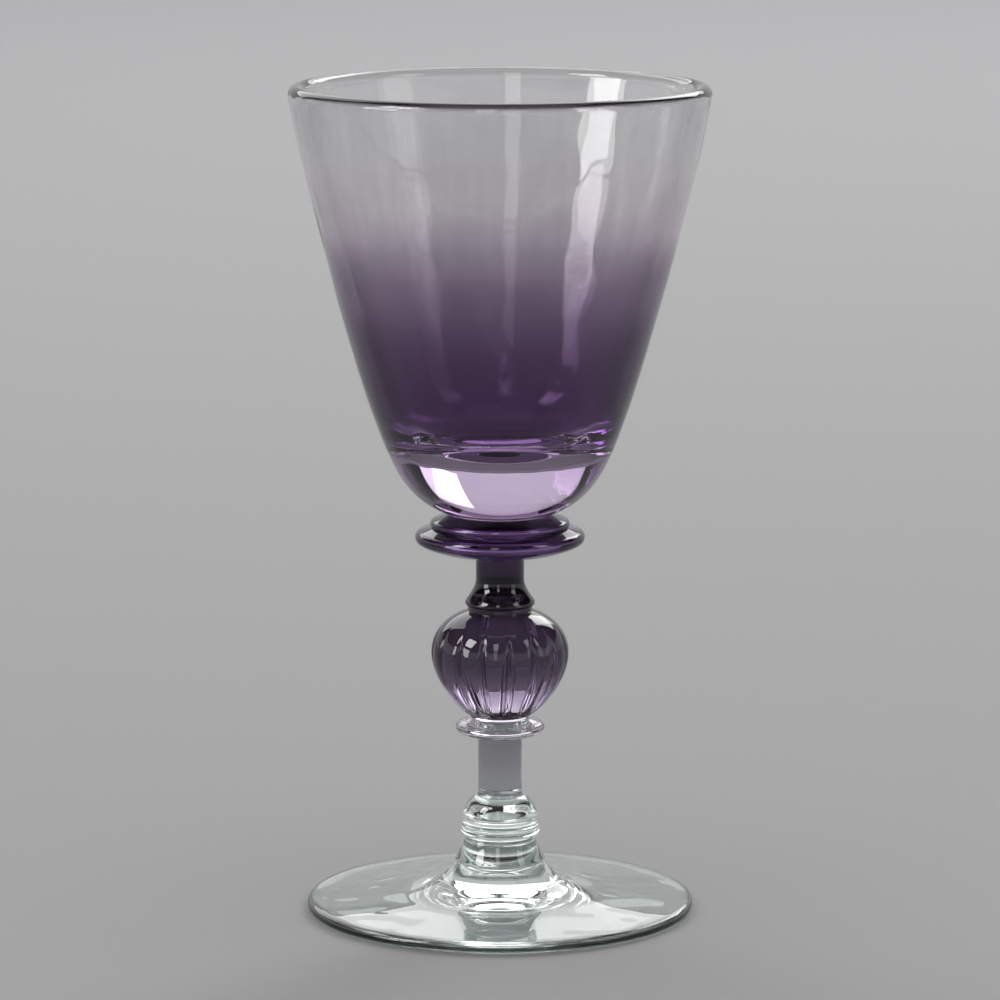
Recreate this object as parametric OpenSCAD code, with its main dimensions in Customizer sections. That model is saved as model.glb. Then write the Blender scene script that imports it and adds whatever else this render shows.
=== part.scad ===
// Hand-made stemmed goblet: a blown bowl with a thick base, carried by a stack of
// hot-joined stem pieces on a round foot.
// Origin at the centre of the foot's underside, +Z up, all lengths in millimetres.
// Every piece is round about the Z axis, and each one stands on the flat top of the
// piece below it, so the height of a piece is also the step to the next one.

/* [Bowl] */
// Height of the bowl from its seat to the rim
bowl_h = 92.8; // [75:0.1:120]
// Outer radius of the bowl at the rim
rim_r = 45.3; // [38:0.1:55]
// Radius of the round, fire-polished lip
lip_r = 2; // [1.4:0.1:2.2]
// Thickness of the wall where the side meets the round base
wall = 3.6; // [2.4:0.1:4.4]
// Outer radius where the straight side meets the round base
shoulder_r = 28.7; // [24:0.1:34]
// Height of that place above the seat
shoulder_h = 25.2; // [21:0.1:30]
// Slope of the side at that place, from level, in degrees
side_angle = 71.9; // [68:0.1:78]
// Thickness of the solid glass under the cavity
sham_h = 14; // [8:0.1:17]
// Radius of the flat disc where the bowl is joined to its pad
bowl_seat_r = 10.6; // [8:0.1:13]

/* [Pad under the bowl] */
// Height of the pad
pad_h = 2.8; // [2.2:0.1:5]
// Outer radius of the pad
pad_r = 15.1; // [14.4:0.1:16.5]
// Radius of the pad's rounded edge
pad_edge_r = 0.95; // [0.5:0.05:1.2]

/* [Upper merese] */
// Height of the flanged disc under the pad
upper_merese_h = 6.7; // [6:0.1:9]
// Outer radius of its flange
upper_flange_r = 18.4; // [18:0.1:24]
// Radius of the flange's rounded edge
upper_edge_r = 1.5; // [0.8:0.05:1.7]

/* [Upper stem] */
// Length of the short column above the knop's collar
upper_stem_h = 4.9; // [3:0.1:20]
// Radius of that column
upper_stem_r = 5.25; // [4:0.05:6]
// How far the column spreads where it meets the merese
upper_stem_flare = 0.2; // [0.1:0.05:0.6]
// Height of the flared collar between the column and the knop
collar_h = 6.8; // [5.6:0.1:10]
// How far the collar's lip stands out past the knop's top disc
collar_lip = 0.6; // [0.3:0.05:0.7]
// Radius of the rounding under that lip
collar_edge_r = 0.72; // [0.71:0.01:0.9]

/* [Ribbed knop] */
// Height of the ribbed knop
knop_h = 23.2; // [18:0.1:32]
// Radius over the ribs at the widest place
knop_r = 14.95; // [12:0.05:19]
// Radius of the disc where the collar is joined to the knop
knop_top_r = 7; // [6.4:0.1:8]
// Radius of the disc where the knop is joined to the lower merese
knop_foot_r = 6.5; // [5.8:0.1:7]
// Number of ribs pressed into the knop
rib_count = 16; // [8:1:18]
// Depth of the grooves between the ribs
groove_depth = 0.85; // [0.2:0.05:1.2]

/* [Lower merese] */
// Height of the small flanged disc under the knop
lower_merese_h = 4.8; // [4.4:0.1:7]
// Outer radius of its flange
lower_flange_r = 9.7; // [9.2:0.1:14]
// Radius of the flange's rounded edge
lower_edge_r = 1.1; // [0.6:0.05:1.2]

/* [Lower stem] */
// Length of the lower column
lower_stem_h = 13; // [5:0.1:40]
// Radius of the lower column
lower_stem_r = 4.77; // [4:0.01:5.4]
// How far the column spreads where it meets the ball knop
lower_stem_flare = 0.35; // [0.1:0.05:0.6]

/* [Ball knop] */
// Height of the small ball knop
ball_h = 5.85; // [5:0.05:8]
// Radius of the ball knop at its widest place
ball_r = 8.15; // [7.9:0.05:10]
// Radius of the ball knop's flat underside
ball_foot_r = 7.45; // [7.2:0.05:7.8]

/* [Wound rings] */
// Thickness of the upper ring of glass wound round the core
upper_ring_h = 1.25; // [0.9:0.05:2]
// Outer radius of the upper ring
upper_ring_r = 8.4; // [8.2:0.05:9.5]
// Thickness of the lower ring of glass wound round the core
lower_ring_h = 1.8; // [1.2:0.05:2.6]
// Outer radius of the lower ring
lower_ring_r = 8.6; // [8.4:0.05:10]
// Radius of the core that carries both rings
core_r = 6.6; // [5:0.1:6.8]

/* [Bell] */
// Height of the flared bell from the foot to its shoulder
bell_h = 5.9; // [4:0.1:12]
// Radius of the bell's shoulder, under the rings
bell_neck_r = 7.5; // [7.1:0.05:8]
// Radius at the bell's lower edge
bell_r = 9.8; // [9.2:0.05:12]
// Radius of the rounding on that lower edge
bell_edge_r = 0.45; // [0.2:0.05:0.8]

/* [Foot] */
// Height of the foot from the table to the bell's seat
foot_h = 10.2; // [8:0.1:14]
// Outer radius of the foot
foot_r = 42.1; // [34:0.1:52]
// Thickness of the foot at its rounded edge
foot_edge_h = 2.4; // [1.8:0.1:3]
// Slope of the foot's upper face, from level, in degrees
foot_slope = 3.6; // [2:0.1:4.4]
// Width of the flat ring that the foot stands on
rest_w = 2.4; // [1.5:0.1:6]
// Slope of the hollow underside inside that ring, from level, in degrees
under_slope = 3.6; // [1.5:0.1:4.4]
// Radius of the ground and polished hollow in the middle of the underside
pontil_r = 7.5; // [4:0.1:12]
// Depth of that hollow
pontil_depth = 0.5; // [0.2:0.05:0.9]

/* [Hidden] */
$fn = 96;

// Each piece stands on the one below it.
bell_z = foot_h;
lower_ring_z = bell_z + bell_h;
upper_ring_z = lower_ring_z + lower_ring_h;
ball_z = upper_ring_z + upper_ring_h;
lower_stem_z = ball_z + ball_h;
lower_merese_z = lower_stem_z + lower_stem_h;
knop_z = lower_merese_z + lower_merese_h;
collar_z = knop_z + knop_h;
upper_stem_z = collar_z + collar_h;
upper_merese_z = upper_stem_z + upper_stem_h;
pad_z = upper_merese_z + upper_merese_h;
bowl_z = pad_z + pad_h;

// The glass runs from deep amethyst at the bowl's base to clear at the foot.
amethyst = [0.36, 0.22, 0.42];
dark_amethyst = [0.27, 0.18, 0.31];
pale_amethyst = [0.62, 0.58, 0.66];
smoke_glass = [0.55, 0.55, 0.58];
clear_glass = [0.80, 0.85, 0.84];

// Steps along one arc or curve of an outline.
arc_steps = 6;
curve_steps = 10;
side_steps = 16;
quarter = 90;

// How strongly each curve of the bowl is pulled, as shares of the heights it spans.
lip_pull_share = 0.062;
side_pull_share = 0.32;
base_pull_share = 0.546;
seat_pull_share = 0.42;
cavity_wall_share = 0.66;
cavity_floor_share = 0.66;
// Slope of the round base where it leaves the seat.
seat_angle = 15.8;

// A flange's underside leaves the column nearly level and swells to the edge.
under_angle = 12;
under_pull_share = 0.33;
// The rounded edge of a flange runs from below to above, in degrees about its centre.
edge_from = -60;
edge_to = 75;
// Height of the edge's centre as a share of the piece's height, and the slope of the top.
upper_edge_share = 0.66;
lower_edge_share = 0.46;
upper_top_angle = -18;
lower_top_angle = -62;
top_pull_share = 0.35;

// The pad's edge starts under level, where it meets the merese in a crease.
pad_edge_from = -45;
pad_edge_to = 80;
pad_foot_r = pad_r - pad_edge_r * (1 - cos(pad_edge_from));

// The joints of the two columns spread over a few times their flare.
flare_rise_share = 3;
upper_joint_r = upper_stem_r + upper_stem_flare;
lower_joint_r = lower_stem_r + lower_stem_flare;

// The collar's neck is a quarter of its height, and the flare above it fills the rest.
collar_neck_share = 0.256;
collar_waist_share = 0.43;
collar_swell_share = 0.16;
collar_r = knop_top_r + collar_lip;

// The knop swells fast from its top disc and tapers slowly to its foot.
knop_belly_share = 0.592;
knop_upper_pull_share = 0.763;
knop_shoulder_pull_share = 0.105;
knop_shoulder_angle = -20;
knop_lower_pull_share = 0.316;
knop_foot_pull_share = 0.4;
knop_foot_angle = 30;
knop_lower_rows = 13;
knop_upper_rows = 11;
// Turn of the first groove from the X axis, in degrees.
groove_turn = 7.5;
// Half the width of a groove, as a share of the pitch of the ribs.
groove_width_share = 0.1;
// Where a groove starts, is at full depth and dies out, as shares of the knop's height.
groove_shares = [0.04, 0.17, 0.45, 0.93];
// Columns of points across one rib: close together in the groove, wider on the rib.
rib_column_shares = [-0.3, -0.16, -0.07, 0, 0.07, 0.16, 0.3, 0.5];

// The ball knop is widest near its foot.
ball_belly_share = 0.235;
ball_upper_pull_share = 0.25;
ball_top_pull_share = 0.38;
ball_top_angle = -24;
ball_lower_pull_share = 0.5;

// The bell is nearly a cone, a little hollow under its shoulder.
bell_neck_pull_share = 0.22;
bell_foot_pull_share = 0.25;
bell_foot_angle = 67;

// The foot falls steeply from its hub, and then runs out nearly level to its edge.
hub_run_share = 0.386;
hub_fall_share = 0.64;
hub_angle = -50;
hub_out_share = 0.6;
hub_r = bell_r - bell_edge_r;
foot_edge_r = foot_edge_h / 2;
rest_r = foot_r - foot_edge_r - rest_w;
under_h = (rest_r - pontil_r) * tan(under_slope);
pontil_ball_r = (pow(pontil_r, 2) + pow(pontil_depth, 2)) / (2 * pontil_depth);

// The point at a distance and an angle from another one.
function polar(p, length, angle) = p + length * [cos(angle), sin(angle)];

// Points of an arc, from one angle to another.
function arc(centre, radius, from, to, steps = arc_steps) =
    [for (i = [0:steps]) polar(centre, radius, from + (to - from) * i / steps)];

// Points of a cubic curve from a to d, pulled towards b and c.
function curve(a, b, c, d, steps = curve_steps) =
    [for (i = [0:steps])
        let (t = i / steps, u = 1 - t)
            pow(u, 3) * a + 3 * pow(u, 2) * t * b + 3 * u * pow(t, 2) * c + pow(t, 3) * d];

// A list without its first point, or without its last, to join stretches of an outline.
function tail(points) = [for (i = [1:len(points) - 1]) points[i]];
function head(points) = [for (i = [0:len(points) - 2]) points[i]];
function last(points) = points[len(points) - 1];

// An outline turned upside down within its height.
function flipped(points, h) = [for (i = [len(points) - 1:-1:0]) [points[i][0], h - points[i][1]]];

// A value that eases from 0 to 1 between two limits.
function ease(x, low, high) =
    let (t = min(1, max(0, (x - low) / (high - low)))) pow(t, 2) * (3 - 2 * t);

// Turns an outline about the Z axis, at the height where the piece stands.
module turned(points, z) {
    translate([0, 0, z])
        rotate_extrude()
            polygon(points);
}

// Outer side of the bowl, from its seat to the widest point of the lip.
function bowl_outside() =
    let (
        seat = [bowl_seat_r, 0],
        shoulder = [shoulder_r, shoulder_h],
        lip = [rim_r, bowl_h - lip_r],
        side_h = bowl_h - lip_r - shoulder_h,
        base = curve(
            seat,
            polar(seat, seat_pull_share * shoulder_h, seat_angle),
            polar(shoulder, -base_pull_share * shoulder_h, side_angle),
            shoulder,
            side_steps
        ),
        side = curve(
            shoulder,
            polar(shoulder, side_pull_share * side_h, side_angle),
            lip - [0, lip_pull_share * side_h],
            lip,
            side_steps
        )
    )
    concat(base, tail(side));

// Inner side of the bowl, from the lip to the middle of the cavity's floor.
function bowl_inside() =
    let (
        lip = [rim_r - 2 * lip_r, bowl_h - lip_r],
        shoulder = [shoulder_r - wall / sin(side_angle), shoulder_h],
        floor = [0, sham_h],
        side_h = bowl_h - lip_r - shoulder_h,
        side = curve(
            lip,
            lip - [0, lip_pull_share * side_h],
            polar(shoulder, side_pull_share * side_h, side_angle),
            shoulder,
            side_steps
        ),
        bottom = curve(
            shoulder,
            polar(shoulder, -cavity_wall_share * (shoulder_h - sham_h), side_angle),
            floor + [cavity_floor_share * shoulder[0], 0],
            floor,
            side_steps
        )
    )
    concat(side, tail(bottom));

module bowl() {
    lip = arc([rim_r - lip_r, bowl_h - lip_r], lip_r, 0, 2 * quarter, 2 * arc_steps);
    color(amethyst)
        turned(concat([[0, 0]], bowl_outside(), tail(head(lip)), bowl_inside()), bowl_z);
}

module bowl_pad() {
    centre = [pad_r - pad_edge_r, -pad_edge_r * sin(pad_edge_from)];
    edge = arc(centre, pad_edge_r, pad_edge_from, pad_edge_to);
    color(amethyst)
        turned(concat([[0, 0]], edge, [[bowl_seat_r, pad_h], [0, pad_h]]), pad_z);
}

// Outline of a flanged disc: a swelling underside, a rounded edge and a sloping top.
function merese_outline(joint_r, top_r, flange_r, edge_r, edge_z, h, top_angle) =
    let (
        joint = [joint_r, 0],
        top = [top_r, h],
        edge = arc([flange_r - edge_r, edge_z], edge_r, edge_from, edge_to),
        under_pull = under_pull_share * (flange_r - joint_r),
        top_pull = top_pull_share * norm(last(edge) - top),
        under = curve(
            joint,
            polar(joint, under_pull, under_angle),
            polar(edge[0], -under_pull, edge_from + quarter),
            edge[0]
        ),
        slope = curve(
            last(edge),
            polar(last(edge), top_pull, edge_to + quarter),
            polar(top, top_pull, top_angle),
            top,
            arc_steps
        )
    )
    concat([[0, 0]], under, tail(edge), tail(slope), [[0, h]]);

module upper_merese() {
    edge_z = upper_edge_share * upper_merese_h;
    color(amethyst)
        turned(
            merese_outline(
                upper_joint_r,
                pad_foot_r,
                upper_flange_r,
                upper_edge_r,
                edge_z,
                upper_merese_h,
                upper_top_angle
            ),
            upper_merese_z
        );
}

// Outline of a column that spreads a little at its foot.
function column_outline(r, h, flare) =
    let (rise = flare_rise_share * flare)
    concat(
        [[0, 0]],
        curve([r + flare, 0], [r + flare / 2, rise / 3], [r, rise / 2], [r, rise], arc_steps),
        [[r, h], [0, h]]
    );

module upper_stem() {
    column = column_outline(upper_stem_r, upper_stem_h, upper_stem_flare);
    color(dark_amethyst)
        turned(flipped(column, upper_stem_h), upper_stem_z);
}

// The collar is a trumpet with a rounded lip, drawn in under the lip to the knop's top disc.
module knop_collar() {
    lip = [collar_r, collar_neck_share * collar_h];
    tuck = acos(1 - collar_lip / collar_edge_r);
    under = arc(lip - [collar_edge_r, 0], collar_edge_r, -tuck, 0);
    top = [upper_stem_r, collar_h];
    flare_h = collar_h - lip[1];
    swell = [0, collar_swell_share * flare_h];
    waist = [0, collar_waist_share * flare_h];
    flare = curve(lip, lip + swell, top - waist, top);
    color(dark_amethyst)
        turned(concat([[0, 0], [knop_top_r, 0]], under, tail(flare), [[0, collar_h]]), collar_z);
}

// Outline of the knop over its ribs, from its foot to its top disc.
function knop_outline() =
    let (
        foot = [knop_foot_r, 0],
        belly = [knop_r, knop_belly_share * knop_h],
        top = [knop_top_r, knop_h],
        upper_h = knop_h - belly[1],
        lower = curve(
            foot,
            polar(foot, knop_foot_pull_share * belly[1], knop_foot_angle),
            belly - [0, knop_lower_pull_share * belly[1]],
            belly,
            knop_lower_rows
        ),
        upper = curve(
            belly,
            belly + [0, knop_upper_pull_share * upper_h],
            polar(top, knop_shoulder_pull_share * upper_h, knop_shoulder_angle),
            top,
            knop_upper_rows
        )
    )
    concat(lower, tail(upper));

// Share of the full groove depth at a height, from the grooves' rounded toes to where
// they fade into the shoulder.
function groove_fade(height_share) =
    ease(height_share, groove_shares[0], groove_shares[1])
    * (1 - ease(height_share, groove_shares[2], groove_shares[3]));

// Share of the full groove depth across a rib: 1 in the groove and 0 on the rib's crown.
function groove_section(column_share) =
    let (crown = 1 / (1 + pow(0.5 / groove_width_share, 2)))
    (1 / (1 + pow(column_share / groove_width_share, 2)) - crown) / (1 - crown);

// The ribs and grooves are formed on a grid of points, one ring of them at each height
// of the outline, and the two end rings are plain circles that seat on the neighbours.
module ribbed_knop() {
    rings = knop_outline();
    pitch = 360 / rib_count;
    columns = [for (rib = [0:rib_count - 1], share = rib_column_shares)
        [rib * pitch + share * pitch, share]];
    n = len(columns);
    points = [for (ring = rings, column = columns)
        let (
            depth = groove_depth * groove_fade(ring[1] / knop_h) * groove_section(column[1]),
            angle = groove_turn + column[0]
        )
        [(ring[0] - depth) * cos(angle), (ring[0] - depth) * sin(angle), ring[1]]];
    sides = [for (i = [0:len(rings) - 2], j = [0:n - 1])
        let (k = (j + 1) % n, low = i * n, high = low + n)
        each [[low + j, high + j, high + k], [low + j, high + k, low + k]]];
    foot = [for (j = [0:n - 1]) j];
    top = [for (j = [n - 1:-1:0]) (len(rings) - 1) * n + j];
    color(dark_amethyst)
        translate([0, 0, knop_z])
            polyhedron(points, concat(sides, [foot, top]));
}

module lower_merese() {
    edge_z = lower_edge_share * lower_merese_h;
    color(pale_amethyst)
        turned(
            merese_outline(
                lower_stem_r,
                knop_foot_r,
                lower_flange_r,
                lower_edge_r,
                edge_z,
                lower_merese_h,
                lower_top_angle
            ),
            lower_merese_z
        );
}

module lower_stem() {
    color(smoke_glass)
        turned(column_outline(lower_stem_r, lower_stem_h, lower_stem_flare), lower_stem_z);
}

module ball_knop() {
    foot = [ball_foot_r, 0];
    belly = [ball_r, ball_belly_share * ball_h];
    top = [lower_joint_r, ball_h];
    upper_h = ball_h - belly[1];
    lower = curve(
        foot,
        polar(foot, ball_lower_pull_share * (ball_r - ball_foot_r), quarter / 2),
        belly - [0, ball_lower_pull_share * belly[1]],
        belly,
        arc_steps
    );
    upper = curve(
        belly,
        belly + [0, ball_upper_pull_share * upper_h],
        polar(top, ball_top_pull_share * ball_h, ball_top_angle),
        top
    );
    color(clear_glass)
        turned(concat([[0, 0]], lower, tail(upper), [[0, ball_h]]), ball_z);
}

// A ring of glass wound round the core, half round outside and flat where it is seated.
module wound_ring(ring_r, h, z) {
    edge = arc([ring_r - h / 2, h / 2], h / 2, -quarter, quarter, 2 * arc_steps);
    color(clear_glass)
        turned(concat([[core_r, 0]], edge, [[core_r, h]]), z);
}

module upper_ring() wound_ring(upper_ring_r, upper_ring_h, upper_ring_z);

module lower_ring() wound_ring(lower_ring_r, lower_ring_h, lower_ring_z);

// The bell carries the core, which passes through both rings to the ball knop.
module bell() {
    edge = arc([bell_r - bell_edge_r, bell_edge_r], bell_edge_r, -quarter, quarter - bell_foot_angle);
    neck = [bell_neck_r, bell_h];
    side_h = bell_h - last(edge)[1];
    core_top = bell_h + lower_ring_h + upper_ring_h;
    side = curve(
        last(edge),
        polar(last(edge), bell_foot_pull_share * side_h, 2 * quarter - bell_foot_angle),
        neck - [0, bell_neck_pull_share * side_h],
        neck
    );
    core = [[core_r, bell_h], [core_r, core_top], [0, core_top]];
    color(clear_glass)
        turned(concat([[0, 0]], edge, tail(side), core), bell_z);
}

// The foot: a ground hollow in the middle of an underside that falls to a flat ring, a
// rounded edge, and an upper face that rises to the hub.
module foot() {
    hollow = arc(
        [0, under_h + pontil_depth - pontil_ball_r],
        pontil_ball_r,
        quarter,
        quarter - asin(pontil_r / pontil_ball_r)
    );
    edge_centre = [foot_r - foot_edge_r, foot_edge_r];
    edge = arc(edge_centre, foot_edge_r, -quarter, quarter - foot_slope, 2 * arc_steps);
    run_r = hub_r + hub_run_share * (foot_r - hub_r);
    run = [run_r, last(edge)[1] + (last(edge)[0] - run_r) * tan(foot_slope)];
    hub = [hub_r, foot_h];
    rise = curve(
        run,
        polar(run, hub_out_share * (run_r - hub_r), 2 * quarter - foot_slope),
        polar(hub, hub_fall_share * (foot_h - run[1]), hub_angle),
        hub,
        side_steps
    );
    color(clear_glass)
        turned(concat(hollow, [[rest_r, 0]], edge, rise, [[0, foot_h]]), 0);
}

bowl();
bowl_pad();
upper_merese();
upper_stem();
knop_collar();
ribbed_knop();
lower_merese();
lower_stem();
ball_knop();
upper_ring();
lower_ring();
bell();
foot();
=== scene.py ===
"""A hand-made stemmed goblet in amethyst and clear glass, dressed for its solid model.

Thirteen pieces of hot glass are joined end to end. The classes Bowl, UpperStem,
RibbedKnop, LowerStem and Base hold one sub-assembly each: its sizes in millimetres and
the outlines of its pieces. A piece is one outline turned about the goblet's axis. Where
two pieces are fused, the flat faces between them carry no surface, so light runs on
from one into the other as it does in the real glass.
"""
import logging
import math
from collections.abc import Callable
from dataclasses import dataclass, field
from enum import Enum

import bmesh
import bpy
from mathutils import Matrix, Vector, noise


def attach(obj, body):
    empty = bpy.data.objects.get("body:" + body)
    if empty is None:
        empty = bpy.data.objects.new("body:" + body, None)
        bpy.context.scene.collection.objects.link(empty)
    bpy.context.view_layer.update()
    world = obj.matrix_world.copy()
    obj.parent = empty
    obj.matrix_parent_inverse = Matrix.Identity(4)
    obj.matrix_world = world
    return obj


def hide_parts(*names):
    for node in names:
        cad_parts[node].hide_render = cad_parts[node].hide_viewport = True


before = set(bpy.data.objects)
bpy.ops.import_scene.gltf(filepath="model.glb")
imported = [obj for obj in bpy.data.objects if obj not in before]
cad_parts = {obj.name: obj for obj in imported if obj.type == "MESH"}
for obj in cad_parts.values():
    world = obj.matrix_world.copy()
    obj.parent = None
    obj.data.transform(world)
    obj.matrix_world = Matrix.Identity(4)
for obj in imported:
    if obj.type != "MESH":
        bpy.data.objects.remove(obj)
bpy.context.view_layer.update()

MM = 0.001
GOBLET_H = 180.0

# Distances in millimetres: two points closer than the first are one point, vertices
# closer than the second are merged, and a point closer to a stretch than the third is
# on it. Corners are looked up by their places, rounded to so many digits.
SAME_PLACE = 1e-6
MERGE_WITHIN = 1e-4
ON_STRETCH = 2e-3
PLACE_DIGITS = 3

# Part of a turn that is spun before it is copied round, as one in so many.
SPUN_PART = 16
# Angle from which an edge shows as sharp, in degrees.
SHARP_FROM = 32

# The curve that turns an sRGB channel linear: its straight foot, its lift and its power.
SRGB_FOOT_END = 0.04045
SRGB_FOOT = 12.92
SRGB_LIFT = 0.055
SRGB_POWER = 2.4

# Facing of a wall, from Layer Weight, at which it starts and ends to count as on edge.
EDGE_FACING = (0.3, 0.7)
# Height over which a tint's deepening at the edges sets in, in millimetres.
EDGE_SETS_IN = 6.0
# Values between which nearly all of the noise lies.
NOISE_SPAN = (0.3, 0.7)
# Share to which the cords' noise is slowed along the axis, which draws them out.
CORD_DRAW = 0.08
# Height over which a column spreads where it is joined, as a multiple of the spread.
SPREAD_RISE = 3
# Slopes of a flanged disc's section where it leaves the joint under it, meets the edge
# and leaves the edge again, in degrees, and the pulls of its lower and upper curves.
DISC_ANGLES = (12, 30, 15)
DISC_PULLS = (0.33, 0.35)

log = logging.getLogger("goblet")

Point = tuple[float, float]
Stretch = tuple[Point, Point]
Tint = tuple[tuple[float, str], ...]


def polar(point: Point, length: float, degrees: float) -> Point:
    """Find the point at a distance and an angle from another one.

    Args:
        point: Where the step starts.
        length: Length of the step.
        degrees: Direction of the step, from level.

    Returns:
        The point at the end of the step.
    """
    turn = math.radians(degrees)
    return point[0] + length * math.cos(turn), point[1] + length * math.sin(turn)


def arc(centre: Point, radius: float, start: float, end: float, steps: int = 12) -> list[Point]:
    """List the points of an arc.

    Args:
        centre: Centre of the arc.
        radius: Radius of the arc.
        start: Angle of the first point, in degrees.
        end: Angle of the last point, in degrees.
        steps: Number of chords.

    Returns:
        The points, ends included.
    """
    return [polar(centre, radius, start + (end - start) * i / steps) for i in range(steps + 1)]


def curve(a: Point, b: Point, c: Point, d: Point, steps: int = 24) -> list[Point]:
    """List the points of a cubic curve.

    Args:
        a: First point.
        b: Point that the curve leaves towards.
        c: Point that the curve arrives from.
        d: Last point.
        steps: Number of chords.

    Returns:
        The points, ends included.
    """
    points = []
    for i in range(steps + 1):
        t = i / steps
        u = 1 - t
        weights = (u**3, 3 * u * u * t, 3 * u * t * t, t**3)
        points.append(
            (
                sum(w * p[0] for w, p in zip(weights, (a, b, c, d))),
                sum(w * p[1] for w, p in zip(weights, (a, b, c, d))),
            )
        )
    return points


@dataclass(frozen=True)
class Bend:
    """How a curve leaves its first point and comes to its last one.

    Attributes:
        leaves: Direction in which it leaves, in degrees from level.
        leave_pull: How far it is pulled that way, in millimetres.
        comes: Direction in which it comes to its last point, in degrees from level.
        come_pull: How far it is pulled back from there, in millimetres.
    """

    leaves: float
    leave_pull: float
    comes: float
    come_pull: float

    def points(self, first: Point, last: Point, steps: int = 24) -> list[Point]:
        """List the points of the curve.

        Args:
            first: First point.
            last: Last point.
            steps: Number of chords.

        Returns:
            The points, ends included.
        """
        after = polar(first, self.leave_pull, self.leaves)
        before = polar(last, -self.come_pull, self.comes)
        return curve(first, after, before, last, steps)


def ease(value: float, low: float, high: float) -> float:
    """Ease from 0 at one limit to 1 at the other.

    Args:
        value: The value to place between the limits.
        low: Limit at which the result is 0.
        high: Limit at which the result is 1.

    Returns:
        A share from 0 to 1.
    """
    t = min(1.0, max(0.0, (value - low) / (high - low)))
    return t * t * (3 - 2 * t)


def linear(hex_colour: str) -> tuple[float, float, float, float]:
    """Turn an sRGB hex colour into the linear colour that a shader takes.

    Args:
        hex_colour: Colour as "#RRGGBB".

    Returns:
        Linear red, green and blue, with an alpha of 1.
    """
    channels = []
    for i in (1, 3, 5):
        c = int(hex_colour[i : i + 2], 16) / 255
        lifted = (c + SRGB_LIFT) / (1 + SRGB_LIFT)
        channels.append(c / SRGB_FOOT if c <= SRGB_FOOT_END else lifted**SRGB_POWER)
    return channels[0], channels[1], channels[2], 1.0


def add_node(
    tree: bpy.types.NodeTree,
    kind: str,
    settings: dict[str, object] | None = None,
    links: dict[str | int, bpy.types.NodeSocket] | None = None,
) -> bpy.types.Node:
    """Add a node with its settings and links.

    Args:
        tree: Node tree that takes the node.
        kind: Type name of the node.
        settings: Values by name, for a property of the node or else for an input socket.
        links: Output sockets by the name or place of the input socket that each one feeds.

    Returns:
        The new node.
    """
    node = tree.nodes.new(kind)
    for name, value in (settings or {}).items():
        if hasattr(node, name):
            setattr(node, name, value)
        else:
            node.inputs[name].default_value = value
    for name, socket in (links or {}).items():
        tree.links.new(socket, node.inputs[name])
    return node


def empty_tree(owner: bpy.types.Material | bpy.types.World) -> bpy.types.NodeTree:
    """Give a material or a world an empty node tree.

    Args:
        owner: What takes the tree.

    Returns:
        The tree.
    """
    owner.use_nodes = True
    owner.node_tree.nodes.clear()
    return owner.node_tree


def turn_round(points: list[Point], turns: int) -> bmesh.types.BMesh:
    """Turn an outline about the Z axis into a closed round shape.

    One part in sixteen is spun. Then all that is there is copied and turned into place
    four times, which doubles it each time.

    Args:
        points: Radius and height of each point.
        turns: Number of steps round the axis, a multiple of sixteen.

    Returns:
        The shape, with its doubles merged and its faces pointing outwards.
    """
    bm = bmesh.new()
    verts = [bm.verts.new((r, 0.0, z)) for r, z in points]
    edges = [bm.edges.new(pair) for pair in zip(verts, verts[1:])]
    part = math.tau / SPUN_PART
    bmesh.ops.spin(
        bm,
        geom=verts + edges,
        axis=(0.0, 0.0, 1.0),
        angle=part,
        steps=turns // SPUN_PART,
    )
    for parts in (1, 2, 4, 8):
        copy = bmesh.ops.duplicate(bm, geom=bm.verts[:] + bm.edges[:] + bm.faces[:])
        bmesh.ops.rotate(
            bm,
            verts=[v for v in copy["geom"] if isinstance(v, bmesh.types.BMVert)],
            matrix=Matrix.Rotation(part * parts, 3, "Z"),
        )
    bmesh.ops.remove_doubles(bm, verts=bm.verts[:], dist=MERGE_WITHIN)
    bmesh.ops.recalc_face_normals(bm, faces=bm.faces[:])
    return bm


class Face(Enum):
    """What a face of a piece is, as its place in the piece's material slots.

    A fused face lies inside the glass, where a piece runs on into its neighbour. A lining
    face has a second finish, such as the inside of the bowl.
    """

    GLASS = 0
    FUSED = 1
    LINING = 2


@dataclass
class Outline:
    """Half of a round piece's section, drawn up from its foot, or round a ring's core.

    Attributes:
        points: Radius and height of each point, in millimetres from the piece's foot.
        marked: Stretches that aren't plain glass, each with what it is.
    """

    points: list[Point] = field(default_factory=list)
    marked: list[tuple[Face, Stretch]] = field(default_factory=list)

    def line(self, *points: Point, kind: Face = Face.GLASS) -> "Outline":
        """Go on to the given points.

        Args:
            points: Points in order. One that repeats the last point is left out.
            kind: What the way to them is.

        Returns:
            This outline, so that stretches can be strung together.
        """
        for point in points:
            if self.points and math.dist(self.points[-1], point) <= SAME_PLACE:
                continue
            if self.points and kind is not Face.GLASS:
                self.marked.append((kind, (self.points[-1], point)))
            self.points.append(point)
        return self

    def kind(self, places: tuple[Point, ...]) -> Face:
        """Tell what a face is.

        Args:
            places: Radius and height of each of the face's corners, in millimetres.

        Returns:
            The kind of the stretch on which all the corners lie, or else plain glass.
        """
        for kind, stretch in self.marked:
            if all(near(place, *stretch) for place in places):
                return kind
        return Face.GLASS


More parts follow.
